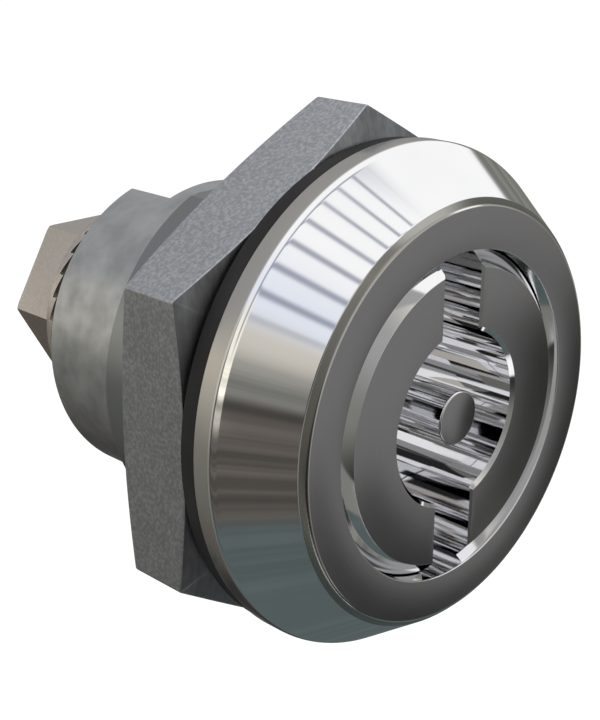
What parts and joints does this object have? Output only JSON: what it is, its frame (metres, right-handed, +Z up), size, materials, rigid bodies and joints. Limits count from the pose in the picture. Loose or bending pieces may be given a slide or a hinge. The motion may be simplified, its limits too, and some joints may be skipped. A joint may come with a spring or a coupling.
{
  "type": "quarter-turn latch body",
  "caption": "Body of a quarter-turn cabinet latch: chromed head with a keyed insert, gasket, fixing nut, stop collar and the bolt that holds a cam.",
  "frame": {"origin": "on the turning axis, in the plane where the gasket meets the door panel", "axes": "-Y points out of the door towards the key, +Y into the cabinet, +Z up"},
  "size_m": [0.028, 0.0319, 0.0312],
  "materials": {
    "chrome_plate": "bright chrome plate over zinc casting, face ring dark satin",
    "gasket_rubber": "black, slightly dull",
    "galvanised_steel": "hot-dip galvanised, fine grey grain",
    "polished_steel": "ground end, polished side",
    "seal_rubber": "black",
    "spring_steel": "dark oiled spring steel",
    "cast_zinc": "bare cast zinc, soft blotches",
    "zinc_plate": "bright zinc plate",
    "plated_bolt": "zinc-nickel plate with a warm grey sheen"
  },
  "bodies": {
    "housing_body": {"housing": "chrome_plate", "gasket": "gasket_rubber", "hex_nut": "galvanised_steel", "stop_collar": "cast_zinc"},
    "spindle_body": {"spindle": "chrome_plate", "key_pin": "polished_steel", "seal_ring": "seal_rubber", "retaining_ring": "spring_steel", "stop_driver": "zinc_plate", "flange_bolt": "plated_bolt"}
  },
  "joints": [
    {"name": "key_turn", "type": "hinge", "parent": "housing_body", "child": "spindle_body", "pos_m": [0, 0, 0], "axis": [0, -1, 0], "range_deg": [0, 90]}
  ]
}
